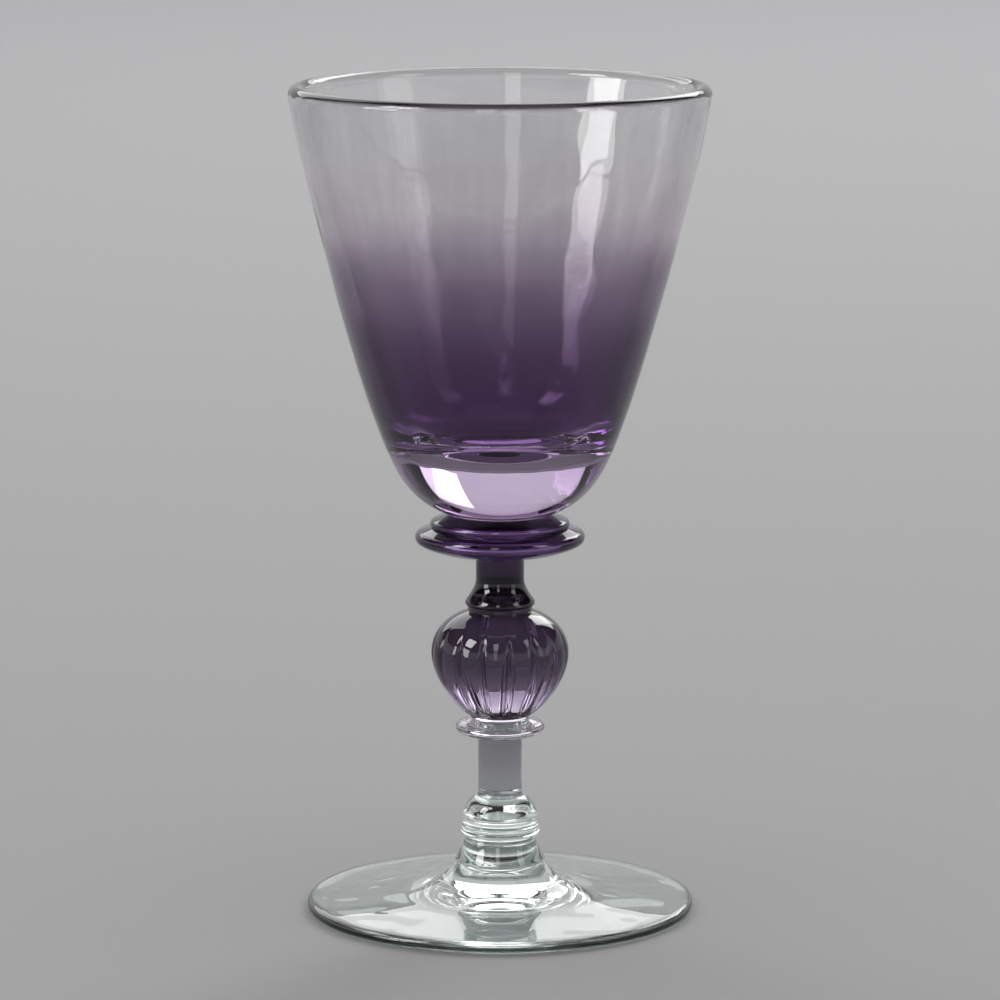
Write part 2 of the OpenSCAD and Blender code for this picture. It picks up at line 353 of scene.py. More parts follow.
def near(place: Point, start: Point, end: Point) -> bool:
    """Tell whether a point lies on a stretch.

    Args:
        place: The point.
        start: One end of the stretch.
        end: The other end.

    Returns:
        True if it does.
    """
    along = (end[0] - start[0], end[1] - start[1])
    span = along[0] ** 2 + along[1] ** 2
    share = ((place[0] - start[0]) * along[0] + (place[1] - start[1]) * along[1]) / span
    share = min(1.0, max(0.0, share))
    closest = (start[0] + share * along[0], start[1] + share * along[1])
    return math.dist(place, closest) < ON_STRETCH


def between_discs(*side: Point) -> Outline:
    """Draw a piece whose foot and top are both fused discs.

    Args:
        side: Points of its side, from the one disc up to the other.

    Returns:
        The outline.
    """
    outline = Outline().line((0.0, side[0][1]), side[0], kind=Face.FUSED).line(*side)
    return outline.line((0.0, side[-1][1]), kind=Face.FUSED)


def column(radius: float, height: float, flare: float, top: bool) -> Outline:
    """Draw a column that spreads a little at one end.

    Args:
        radius: Radius of the column.
        height: Its length.
        flare: How far it spreads.
        top: True if it spreads at its top, and False at its foot.

    Returns:
        The outline.
    """
    rise = SPREAD_RISE * flare
    spread = curve(
        (radius + flare, 0.0),
        (radius + flare / 2, rise / 3),
        (radius, rise / 2),
        (radius, rise),
        steps=8,
    )
    side = [*spread, (radius, height)]
    if top:
        side = [(r, height - z) for r, z in reversed(side)]
    return between_discs(*side)


@dataclass(frozen=True)
class Finish:
    """A finish of a surface, which is built as one material.

    Attributes:
        name: What the surface is and how it was made.
    """

    name: str

    def material(self) -> bpy.types.Material:
        """Build the material, or find it if another piece has it.

        Returns:
            The material.
        """
        made = bpy.data.materials.get(self.name)
        if not made:
            made = bpy.data.materials.new(self.name)
            self.write(empty_tree(made))
        return made

    def write(self, tree: bpy.types.NodeTree) -> None:
        """Add the finish's nodes, down to the output.

        Args:
            tree: Empty node tree of the material.
        """
        raise NotImplementedError


@dataclass(frozen=True)
class Glass(Finish):
    """A glass as the maker knows it, and what its surface gives the eye.

    Attributes:
        tint: Heights above the table in millimetres, and the colour that one wall has there.
        edge_depth: How many times deeper the tint is where the eye meets a wall on edge
            and looks a long way through it.
        edge_above_mm: Height above which that holds in full. It sets in just under it.
        cord_mm: Width of the faint streaks that gathering leaves in the glass.
        cord_depth: How much a streak darkens the tint.
        ripple_mm: Width of the soft ripples that tooling leaves on the surface.
        ripple_depth_mm: Height of those ripples.
        roughness: Roughness of the surface: a flame or polish leaves next to none.
        ior: Refractive index.
    """

    tint: Tint
    edge_depth: float = 1.0
    edge_above_mm: float = 0.0
    cord_mm: float = 3.0
    cord_depth: float = 0.06
    ripple_mm: float = 9.0
    ripple_depth_mm: float = 0.02
    roughness: float = 0.0
    ior: float = 1.5

    def write(self, tree: bpy.types.NodeTree) -> None:
        """Add the nodes of a tinted glass that lets light through.

        Args:
            tree: Empty node tree of the material.
        """
        place = add_node(tree, "ShaderNodeTexCoord").outputs["Object"]
        height = add_node(tree, "ShaderNodeSeparateXYZ", links={"Vector": place}).outputs["Z"]
        share = add_node(
            tree, "ShaderNodeMapRange", {"From Max": GOBLET_H * MM}, {"Value": height}
        ).outputs["Result"]
        ramp = add_node(tree, "ShaderNodeValToRGB", links={"Fac": share})
        self.fill(ramp.color_ramp)
        deepest = add_node(
            tree,
            "ShaderNodeMapRange",
            {
                "From Min": (self.edge_above_mm - EDGE_SETS_IN) * MM,
                "From Max": self.edge_above_mm * MM,
                "To Min": 1.0,
                "To Max": self.edge_depth,
            },
            {"Value": height},
        ).outputs["Result"]
        facing = add_node(tree, "ShaderNodeLayerWeight").outputs["Facing"]
        depth = add_node(
            tree,
            "ShaderNodeMapRange",
            {
                "interpolation_type": "SMOOTHSTEP",
                "From Min": EDGE_FACING[0],
                "From Max": EDGE_FACING[1],
                "To Min": 1.0,
            },
            {"Value": facing, "To Max": deepest},
        ).outputs["Result"]
        tint = add_node(
            tree, "ShaderNodeGamma", links={"Color": ramp.outputs["Color"], "Gamma": depth}
        ).outputs["Color"]
        drawn = add_node(
            tree, "ShaderNodeMapping", {"Scale": (1.0, 1.0, CORD_DRAW)}, {"Vector": place}
        ).outputs["Vector"]
        cords = add_node(
            tree, "ShaderNodeTexNoise", {"Scale": 1 / (self.cord_mm * MM)}, {"Vector": drawn}
        ).outputs["Fac"]
        amount = add_node(
            tree,
            "ShaderNodeMapRange",
            {"From Min": NOISE_SPAN[0], "From Max": NOISE_SPAN[1], "To Min": 1 - self.cord_depth},
            {"Value": cords},
        ).outputs["Result"]
        colour = add_node(
            tree, "ShaderNodeVectorMath", {"operation": "SCALE"}, {"Vector": tint, "Scale": amount}
        ).outputs["Vector"]
        ripples = add_node(
            tree,
            "ShaderNodeTexNoise",
            {"Scale": 1 / (self.ripple_mm * MM), "Detail": 1.0},
            {"Vector": place},
        ).outputs["Fac"]
        bump = add_node(
            tree, "ShaderNodeBump", {"Distance": self.ripple_depth_mm * MM}, {"Height": ripples}
        ).outputs["Normal"]
        shader = add_node(
            tree,
            "ShaderNodeBsdfPrincipled",
            {"Roughness": self.roughness, "IOR": self.ior, "Transmission Weight": 1.0},
            {"Base Color": colour, "Normal": bump},
        )
        add_node(tree, "ShaderNodeOutputMaterial", links={"Surface": shader.outputs["BSDF"]})

    def fill(self, ramp: bpy.types.ColorRamp) -> None:
        """Write the tint into a colour ramp that spans the goblet's height.

        Args:
            ramp: The ramp to fill.
        """
        ramp.interpolation = "EASE"
        while len(ramp.elements) > 1:
            ramp.elements.remove(ramp.elements[-1])
        for i, (height, colour) in enumerate(self.tint):
            stop = ramp.elements[0] if i == 0 else ramp.elements.new(height / GOBLET_H)
            stop.position = height / GOBLET_H
            stop.color = linear(colour)


@dataclass(frozen=True)
class FusedJoint(Finish):
    """The plane where two pieces were joined hot: no surface is left there to see.

    Attributes:
        tint: Colour that the deeper glass beyond the joint gives to light from here.
    """

    name: str = "Hot-joined glass, no surface left"
    tint: str = "#FFFFFF"

    def write(self, tree: bpy.types.NodeTree) -> None:
        """Add the nodes of a plane that light passes straight through.

        Args:
            tree: Empty node tree of the material.
        """
        clear = add_node(tree, "ShaderNodeBsdfTransparent", {"Color": linear(self.tint)})
        add_node(tree, "ShaderNodeOutputMaterial", links={"Surface": clear.outputs["BSDF"]})


@dataclass(frozen=True)
class FloorPaintWithLightPool(Finish):
    """The matt paint of the studio's floor, with painted light: darker further from the goblet.

    Attributes:
        near: Colour under the goblet, where the painted light is brightest.
        far: Colour at the floor's edge, where the painted light is dimmest.
        fade: Radii between which the one fades into the other, in metres.
        roughness: Roughness of the paint.
        shine: How much of a shine is left on it.
    """

    name: str = "Matt studio paint, rolled, with a painted pool of light"
    near: str = "#AFAFB0"
    far: str = "#9A9A9C"
    fade: tuple[float, float] = (0.2, 3.6)
    roughness: float = 0.9
    shine: float = 0.1

    def write(self, tree: bpy.types.NodeTree) -> None:
        """Add the nodes of a paint whose painted light fades with its distance from the middle.

        Args:
            tree: Empty node tree of the material.
        """
        place = add_node(tree, "ShaderNodeTexCoord").outputs["Object"]
        near_r, far_r = self.fade
        away = add_node(
            tree, "ShaderNodeVectorMath", {"operation": "LENGTH"}, {"Vector": place}
        ).outputs["Value"]
        share = add_node(
            tree,
            "ShaderNodeMapRange",
            {"interpolation_type": "SMOOTHSTEP", "From Min": near_r, "From Max": far_r},
            {"Value": away},
        ).outputs["Result"]
        # Painted light: lighter round the goblet and darker towards the floor's edge.
        ramp = add_node(tree, "ShaderNodeValToRGB", links={"Fac": share})
        ramp.color_ramp.elements[0].color = linear(self.near)
        ramp.color_ramp.elements[1].color = linear(self.far)
        shader = add_node(
            tree,
            "ShaderNodeBsdfPrincipled",
            {"Roughness": self.roughness, "Specular IOR Level": self.shine},
            {"Base Color": ramp.outputs["Color"]},
        )
        add_node(tree, "ShaderNodeOutputMaterial", links={"Surface": shader.outputs["BSDF"]})


# Nothing shows where two pieces of one depth meet, and light runs on.
FUSED_CLEAR = FusedJoint()
# The knop runs on into the collar above it, and the collar swallows most of that light.
FUSED_DEEP = FusedJoint("Hot-joined deep amethyst glass, no surface left", "#5E5366")

# The bowl's colour above its base: a gather of amethyst thins out as it is blown.
WALL_TINT: Tint = (
    (106.0, "#8E6CA2"),
    (113.0, "#8A6797"),
    (123.0, "#9982A4"),
    (138.0, "#C4B9C9"),
    (152.0, "#F3EEF3"),
    (165.0, "#F7F6F7"),
)
# Clear at the lip and deep purple at the base, with soft cords and ripples from blowing.
# The sides go dark where the eye looks along the wall. The lip's fire-polished edge bends
# the light of the floor away, and the thin dark line that this gives is painted shade in the tint.
AMETHYST_WITH_LIP_SHADE = Glass(
    name="Amethyst soda-lime glass, blown and fire-polished",
    tint=(
        (84.0, "#7A6A84"),
        (90.0, "#908396"),
        (102.0, "#8E8095"),
        *WALL_TINT,
        (178.6, "#F7F6F7"),
        # Painted shade: a thin dark line along the top of the lip.
        (179.2, "#2A282C"),
    ),
    edge_depth=4.0,
    edge_above_mm=106.0,
)
# The same wall from the inside, over a cavity's floor that is darker than the sham.
AMETHYST_LINING = Glass(
    name="Amethyst casing glass, blown inside the bowl",
    tint=((101.0, "#3A2046"), (103.0, "#4A2A5E"), *WALL_TINT),
)
# Clear purple with a shine, and dark at the rounded edges.
DISC_AMETHYST = Glass(
    name="Amethyst soda-lime glass, hot-pressed disc",
    tint=((74.0, "#40294F"), (86.0, "#4C345C")),
    edge_depth=2.0,
    ripple_mm=5.0,
    ripple_depth_mm=0.01,
)
# Dark plum that lets light through at the bottom, where the knop is thin.
KNOP_AMETHYST = Glass(
    name="Deep amethyst soda-lime glass, pressed and hot-tooled",
    tint=(
        (42.0, "#F0ECF2"),
        (45.0, "#DAD2DE"),
        (48.0, "#9F95A8"),
        (51.0, "#6E6078"),
        (55.0, "#43364C"),
        (66.0, "#3E3147"),
    ),
    edge_depth=1.5,
    ripple_mm=5.0,
    ripple_depth_mm=0.01,
)
# Nearly black in the collar and deep plum in the column above it.
DEEP_AMETHYST = Glass(
    name="Deep amethyst soda-lime glass, hot-tooled",
    tint=((66.0, "#120B16"), (72.0, "#160E1A"), (74.0, "#33203F"), (86.0, "#40294D")),
    ripple_mm=5.0,
    ripple_depth_mm=0.01,
)
# Almost clear, with a breath of purple from the knop above.
PALE_AMETHYST = Glass(
    name="Pale amethyst soda-lime glass, hot-tooled",
    tint=((38.0, "#CFCBD2"), (43.0, "#BDB6C3")),
    ripple_mm=5.0,
    ripple_depth_mm=0.01,
)
# An even grey that turns clear towards the ball.
SMOKE = Glass(
    name="Smoke-grey soda-lime glass, drawn column",
    tint=((25.0, "#C3C5C8"), (38.0, "#A3A1A7")),
    ripple_mm=7.0,
    ripple_depth_mm=0.008,
)
# Clear, with the faint green of soda-lime glass and bright bands in its curves.
CLEAR = Glass(
    name="Clear soda-lime glass, hot-tooled",
    tint=((0.0, "#EDF4F2"), (25.0, "#EFF5F3")),
    ripple_mm=8.0,
    ripple_depth_mm=0.012,
)
# The same glass, spun out flat: wide soft ripples break up what it mirrors.
FOOT_CLEAR = Glass(
    name="Clear soda-lime glass, spun and flattened",
    tint=((0.0, "#EDF4F2"), (25.0, "#EFF5F3")),
    ripple_mm=17.0,
    ripple_depth_mm=0.3,
)
# The rounded edge is seen through the whole width of the foot, so it shows dark green
# where the faces show clear. Its near-black band is partly that green and partly painted
# shade: the dark line that the edge shows.
FOOT_EDGE_GREEN_AND_SHADE = Glass(
    name="Clear soda-lime glass, fire-polished edge",
    tint=(
        (0.0, "#EDF4F2"),
        (0.35, "#EDF4F2"),
        # Partly real green and partly painted shade: the dark band along the edge.
        (0.5, "#18201E"),
        (1.7, "#18201E"),
        (2.3, "#EDF4F2"),
    ),
)


@dataclass
class Turned:
    """One round piece of glass, ready to be built.

    Attributes:
        name: Name of the piece.
        node: Solid of the model that the piece stands for.
        slot: Material slot of the record. Not used.
        glass: What the piece is made of.
        z: Height at which the piece stands, in millimetres.
        outline: Its section.
        shape: Moves a point of the turned piece, in millimetres from the piece's foot.
        lining: Glass of the stretches with the second finish, if it has any.
        joint: What its fused stretches are like.
        turns: Number of steps round the axis.
    """

    name: str
    node: str
    slot: str
    glass: Glass
    z: float
    outline: Outline
    shape: Callable[[Vector], Vector] | None = None
    lining: Glass | None = None
    joint: FusedJoint = FUSED_CLEAR
    turns: int = 256

    def build(self) -> None:
        """Turn the outline, shape and dress the piece, and put it in the scene."""
        bm = turn_round(self.outline.points, self.turns)
        kinds: dict[tuple[Point, ...], Face] = {}
        for face in bm.faces:
            places = tuple(
                sorted(
                    (round(math.hypot(*v.co.xy), PLACE_DIGITS), round(v.co.z, PLACE_DIGITS))
                    for v in face.verts
                )
            )
            if places not in kinds:
                kinds[places] = self.outline.kind(places)
            face.material_index = kinds[places].value
            face.smooth = True
        for edge in bm.edges:
            edge.smooth = edge.calc_face_angle(0.0) < math.radians(SHARP_FROM)
        if self.shape:
            for vert in bm.verts:
                vert.co = self.shape(vert.co)
        bmesh.ops.translate(bm, verts=bm.verts[:], vec=(0.0, 0.0, self.z))
        bmesh.ops.scale(bm, verts=bm.verts[:], vec=(MM, MM, MM))
        mesh = bpy.data.meshes.new(self.name)
        bm.to_mesh(mesh)
        bm.free()
        mesh.materials.append(self.glass.material())
        mesh.materials.append(self.joint.material())
        if self.lining:
            mesh.materials.append(self.lining.material())
        piece = bpy.data.objects.new(self.name, mesh)
        bpy.context.scene.collection.objects.link(piece)
        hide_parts(self.node)
        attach(piece, "root")
        log.info("%s: %d faces", self.name, len(mesh.polygons))


@dataclass
class Levels:
    """Heights of the pieces' feet above the table, in millimetres, from the foot up."""

    bell: float = 10.2
    lower_ring: float = 16.1
    upper_ring: float = 17.9
    ball: float = 19.15
    lower_stem: float = 25.0
    lower_merese: float = 38.0
    knop: float = 42.8
    collar: float = 66.0
    upper_stem: float = 72.8
    upper_merese: float = 77.7
    pad: float = 84.4
    bowl: float = 87.2


LEVELS = Levels()


@dataclass
class Bowl:
    """The blown bowl: a cone with a round lip, on a thick round base.

    Attributes:
        height: Height from the seat to the rim.
        rim_r: Outer radius at the rim.
        lip_r: Radius of the round lip.
        wall: Thickness of the wall where the side meets the base.
        shoulder: Radius and height where the side meets the base.
        sham_h: Thickness of the solid glass under the cavity.
        seat_r: Radius of the disc where the bowl is joined to its pad.
        base: Bend of the outside from the seat to the shoulder.
        side: Bend of both sides from the shoulder to the lip.
        floor: Bend of the cavity's floor from its middle to the shoulder.
        unevenness: How far the blown wall strays from a true cone.
        even_foot: Height over which it is still true, less and less.
        even_lip: Distances under the rim from where it comes true again, and is true.
        swell: Spacing of its long swells round the bowl, up it and through the wall, and
            how much they count.
        ripple: The same for the short ripples on them.
        ripple_turn: Turn of the ripples against the swells.
    """

    height: float = 92.8
    rim_r: float = 45.3
    lip_r: float = 2.0
    wall: float = 3.6
    shoulder: Point = (28.7, 25.2)
    sham_h: float = 14.0
    seat_r: float = 10.6
    base: Bend = Bend(15.8, 10.584, 71.9, 13.7592)
    side: Bend = Bend(71.9, 20.992, 90.0, 4.0672)
    floor: Bend = Bend(0.0, 16.442305, 71.9, 7.392)
    unevenness: float = 0.12
    even_foot: float = 14.0
    even_lip: tuple[float, float] = (6.0, 1.0)
    swell: tuple[float, float, float, float] = (2.4, 34.0, 9.0, 1.2)
    ripple: tuple[float, float, float, float] = (2.6, 15.0, 5.0, 0.5)
    ripple_turn: float = 7.0

    def outside(self) -> list[Point]:
        """List the outer side's points, from the seat to the widest point of the lip."""
        lip = (self.rim_r, self.height - self.lip_r)
        base = self.base.points((self.seat_r, 0.0), self.shoulder, steps=32)
        return base + self.side.points(self.shoulder, lip, steps=40)[1:]

    def inside(self) -> list[Point]:
        """List the inner side's points, from the lip to the middle of the cavity's floor."""
        lip = (self.rim_r - 2 * self.lip_r, self.height - self.lip_r)
        inset = self.wall / math.sin(math.radians(self.side.leaves))
        shoulder = (self.shoulder[0] - inset, self.shoulder[1])
        side = self.side.points(shoulder, lip, steps=40)
        floor = self.floor.points((0.0, self.sham_h), shoulder, steps=32)
        return side[::-1] + floor[-2::-1]

    def blown(self, co: Vector) -> Vector:
        """Let the wall stray a little, as a blown one does.

        Args:
            co: Point of the true bowl, from its seat.

        Returns:
            The point, drawn in by about as much as the unevenness.
        """
        r = math.hypot(co.x, co.y)
        near_lip, at_lip = (self.height - distance for distance in self.even_lip)
        share = ease(co.z, 0.0, self.even_foot) * (1 - ease(co.z, near_lip, at_lip))
        if r < SAME_PLACE or share == 0.0:
            return co
        around, up, through, weight = self.swell
        lobes = Vector((co.x / r, co.y / r, 0.0)) * around
        swell = weight * noise.noise(lobes + Vector((0.0, 0.0, co.z / up + r / through)))
        around, up, through, weight = self.ripple
        place = Vector((self.ripple_turn, 0.0, co.z / up + r / through))
        ripple = weight * noise.noise(lobes * around + place)
        stray = self.unevenness * share * (swell + ripple - 1)
        return Vector((co.x * (1 + stray / r), co.y * (1 + stray / r), co.z))

    def build(self) -> None:
        """Build the bowl."""
        lip = (self.rim_r - self.lip_r, self.height - self.lip_r)
        outline = Outline().line((0.0, 0.0), (self.seat_r, 0.0), kind=Face.FUSED)
        outline.line(*self.outside(), *arc(lip, self.lip_r, 0, 90))
        outline.line(*arc(lip, self.lip_r, 90, 180), *self.inside(), kind=Face.LINING)
        Turned(
            "bowl_blown",
            "bowl",
            "amethyst_glass",
            AMETHYST_WITH_LIP_SHADE,
            LEVELS.bowl,
            outline,
            self.blown,
            AMETHYST_LINING,
        ).build()


def merese(
    joint_r: float,
    top_r: float,
    flange_r: float,
    edge_r: float,
    edge_z: float,
    height: float,
    top_angle: float,
) -> Outline:
    """Draw a flanged disc: a swelling underside, a rounded edge and a sloping top.

    Args:
        joint_r: Radius of the joint under it.
        top_r: Radius of the joint on top of it.
        flange_r: Outer radius.
        edge_r: Radius of the rounded edge.
        edge_z: Height of that edge's centre.
        height: Height of the disc.
        top_angle: Slope of the top where it meets the piece above, in degrees.

    Returns:
        The outline.
    """
    from_joint, to_edge, off_edge = DISC_ANGLES
    under_pull = DISC_PULLS[0] * (flange_r - joint_r)
    edge = arc((flange_r - edge_r, edge_z), edge_r, to_edge - 90, 90 - off_edge)
    top_pull = DISC_PULLS[1] * math.dist(edge[-1], (top_r, height))
    under = curve(
        (joint_r, 0.0),
        polar((joint_r, 0.0), under_pull, from_joint),
        polar(edge[0], -under_pull, to_edge),
        edge[0],
    )
    slope = curve(
        edge[-1],
        polar(edge[-1], top_pull, 180 - off_edge),
        polar((top_r, height), top_pull, top_angle),
        (top_r, height),
    )
    return between_discs(*under, *edge, *slope)


@dataclass
class UpperStem:
    """The plum pieces between the bowl and the knop.

    Attributes:
        seat_r: Radius of the joint under the bowl.
        pad_h: Height of the pad.
        pad_r: Outer radius of the pad.
        pad_edge_r: Radius of the pad's rounded edge.
        pad_edge_span: Angles of that edge under and over its widest place, in degrees.
        merese_h: Height of the flanged disc.
        flange_r: Outer radius of its flange.
        edge_r: Radius of the flange's rounded edge.
        edge_z: Height of that edge's centre, as a share of the disc's height.
        disc_angle: Slope of the disc's top where it meets the pad, in degrees.
        stem_h: Length of the column.
        stem_r: Radius of the column.
        flare: How far the column spreads under the disc.
        collar_h: Height of the collar over the knop.
        knop_top_r: Radius of the joint on the knop.
        collar_lip: How far the collar's lip stands out past that joint.
        collar_edge_r: Radius of the rounding under the lip.
        collar_z: Height of the lip's widest place, as a share of the collar's height.
        trumpet: Bend of the collar's side from the lip up to the column.
    """

    seat_r: float = 10.6
    pad_h: float = 2.8
    pad_r: float = 15.1
    pad_edge_r: float = 0.95
    pad_edge_span: tuple[float, float] = (45.0, 80.0)
    merese_h: float = 6.7
    flange_r: float = 18.4
    edge_r: float = 1.5
    edge_z: float = 0.66
    disc_angle: float = -18.0
    stem_h: float = 4.9
    stem_r: float = 5.25
    flare: float = 0.2
    collar_h: float = 6.8
    knop_top_r: float = 7.0
    collar_lip: float = 0.6
    collar_edge_r: float = 0.72
    collar_z: float = 0.256
    trumpet: Bend = Bend(90.0, 0.809472, 90.0, 2.175456)

    def pad_foot_r(self) -> float:
        """Give the radius of the joint between the pad and the disc."""
        return self.pad_r - self.pad_edge_r * (1 - math.cos(math.radians(self.pad_edge_span[0])))

    def pad(self) -> Outline:
        """Draw the pad that the bowl sits on."""
        under, over = self.pad_edge_span
        centre_h = self.pad_edge_r * math.sin(math.radians(under))
        edge = arc((self.pad_r - self.pad_edge_r, centre_h), self.pad_edge_r, -under, over)
        return between_discs(*edge, (self.seat_r, self.pad_h))

    def collar(self) -> Outline:
        """Draw the trumpet-shaped collar with its rounded lip."""
        lip = (self.knop_top_r + self.collar_lip, self.collar_z * self.collar_h)
        tuck = math.degrees(math.acos(1 - self.collar_lip / self.collar_edge_r))
        under = arc((lip[0] - self.collar_edge_r, lip[1]), self.collar_edge_r, -tuck, 0)
        trumpet = self.trumpet.points(lip, (self.stem_r, self.collar_h))
        return between_discs((self.knop_top_r, 0.0), *under, *trumpet)

    def build(self) -> None:
        """Build the pad, the disc, the column and the collar."""
        disc = merese(
            joint_r=self.stem_r + self.flare,
            top_r=self.pad_foot_r(),
            flange_r=self.flange_r,
            edge_r=self.edge_r,
            edge_z=self.edge_z * self.merese_h,
            height=self.merese_h,
            top_angle=self.disc_angle,
        )
        stem = column(self.stem_r, self.stem_h, self.flare, top=True)
        plum, deep = "amethyst_glass", "dark_amethyst_glass"
        for piece in (
            Turned("pad_under_bowl", "bowl_pad", plum, DISC_AMETHYST, LEVELS.pad, self.pad()),
            Turned("upper_disc", "upper_merese", plum, DISC_AMETHYST, LEVELS.upper_merese, disc),
            Turned("upper_column", "upper_stem", deep, DEEP_AMETHYST, LEVELS.upper_stem, stem),
            Turned(
                "collar",
                "knop_collar",
                deep,
                DEEP_AMETHYST,
                LEVELS.collar,
                self.collar(),
                joint=FUSED_DEEP,
            ),
        ):
            piece.build()


@dataclass
class RibbedKnop:
    """The melon-shaped knop, with grooves pressed between its ribs.

    Attributes:
        height: Height of the knop.
        belly_r: Radius over the ribs at the widest place.
        belly_z: Height of that place, as a share of the knop's height.
        top_r: Radius of the joint with the collar.
        foot_r: Radius of the joint with the lower disc.
        lower: Bend of the side from the foot to the widest place.
        upper: Bend of the side from the widest place to the top.
        ribs: Number of ribs.
        rib_steps: Number of steps across a rib.
        groove_depth: Depth of the grooves.
        groove_turn: Turn of the first groove from the X axis, in degrees.
        groove_width: Half the width of a groove, as a share of the ribs' pitch.
        groove_span: Where a groove starts, is full, begins to fade and dies out, as
            shares of the height.
    """

    height: float = 23.2
    belly_r: float = 14.95
    belly_z: float = 0.592
    top_r: float = 7.0
    foot_r: float = 6.5
    lower: Bend = Bend(30.0, 5.49376, 90.0, 4.3400704)
    upper: Bend = Bend(90.0, 7.2222528, 160.0, 0.993888)
    ribs: int = 16
    rib_steps: int = 28
    groove_depth: float = 1.3
    groove_turn: float = 7.5
    groove_width: float = 0.08
    groove_span: tuple[float, float, float, float] = (0.04, 0.17, 0.45, 0.93)

    def outline(self) -> Outline:
        """Draw the knop over its ribs."""
        belly = (self.belly_r, self.belly_z * self.height)
        lower = self.lower.points((self.foot_r, 0.0), belly, steps=44)
        upper = self.upper.points(belly, (self.top_r, self.height), steps=36)
        return between_discs(*lower, *upper)

    def ribbed(self, co: Vector) -> Vector:
        """Press the grooves into the knop.

        Args:
            co: Point of the plain knop, from its foot.

        Returns:
            The point, pressed in where a groove passes.
        """
        r = math.hypot(co.x, co.y)
        share = co.z / self.height
        start, full, fading, end = self.groove_span
        fade = ease(share, start, full) * (1 - ease(share, fading, end))
        if r < SAME_PLACE or fade == 0.0:
            return co
        turn = math.degrees(math.atan2(co.y, co.x)) - self.groove_turn
        place = (turn * self.ribs / 360 + 0.5) % 1 - 0.5
        crown = 1 / (1 + (0.5 / self.groove_width) ** 2)
        section = (1 / (1 + (place / self.groove_width) ** 2) - crown) / (1 - crown)
        pressed = 1 - self.groove_depth * fade * section / r
        return Vector((co.x * pressed, co.y * pressed, co.z))

    def build(self) -> None:
        """Build the knop."""
        Turned(
            "melon_knop",
            "ribbed_knop",
            "dark_amethyst_glass",
            KNOP_AMETHYST,
            LEVELS.knop,
            self.outline(),
            self.ribbed,
            turns=self.ribs * self.rib_steps,
        ).build()


@dataclass
class LowerStem:
    """The pieces that fade from pale amethyst to clear: disc, column and ball.

    Attributes:
        merese_h: Height of the small flanged disc.
        knop_foot_r: Radius of the joint with the knop.
        flange_r: Outer radius of the disc's flange.
        edge_r: Radius of the flange's rounded edge.
        edge_z: Height of that edge's centre, as a share of the disc's height.
        disc_angle: Slope of the disc's top where it meets the knop, in degrees.
        stem_h: Length of the column.
        stem_r: Radius of the column.
        flare: How far the column spreads on the ball.
        ball_h: Height of the ball knop.
        ball_r: Radius of the ball knop.
        ball_foot_r: Radius of its flat underside.
        ball_z: Height of its widest place, as a share of its height.
        ball_lower: Bend of its side from its foot to the widest place.
        ball_upper: Bend of its side from the widest place to its top.
    """

    merese_h: float = 4.8
    knop_foot_r: float = 6.5
    flange_r: float = 9.7
    edge_r: float = 1.1
    edge_z: float = 0.46
    disc_angle: float = -62.0
    stem_h: float = 13.0
    stem_r: float = 4.77
    flare: float = 0.35
    ball_h: float = 5.85
    ball_r: float = 8.15
    ball_foot_r: float = 7.45
    ball_z: float = 0.235
    ball_lower: Bend = Bend(45.0, 0.35, 90.0, 0.687375)
    ball_upper: Bend = Bend(90.0, 1.1188125, 156.0, 2.223)

    def ball(self) -> Outline:
        """Draw the ball knop, widest near its foot."""
        belly = (self.ball_r, self.ball_z * self.ball_h)
        top = (self.stem_r + self.flare, self.ball_h)
        lower = self.ball_lower.points((self.ball_foot_r, 0.0), belly, steps=10)
        return between_discs(*lower, *self.ball_upper.points(belly, top))

    def build(self) -> None:
        """Build the disc, the column and the ball."""
        disc = merese(
            joint_r=self.stem_r,
            top_r=self.knop_foot_r,
            flange_r=self.flange_r,
            edge_r=self.edge_r,
            edge_z=self.edge_z * self.merese_h,
            height=self.merese_h,
            top_angle=self.disc_angle,
        )
        stem = column(self.stem_r, self.stem_h, self.flare, top=False)
        pale, smoke, clear = "pale_amethyst_glass", "smoke_glass", "clear_glass"
        for piece in (
            Turned("lower_disc", "lower_merese", pale, PALE_AMETHYST, LEVELS.lower_merese, disc),
            Turned("lower_column", "lower_stem", smoke, SMOKE, LEVELS.lower_stem, stem),
            Turned("ball", "ball_knop", clear, CLEAR, LEVELS.ball, self.ball()),
        ):
            piece.build()


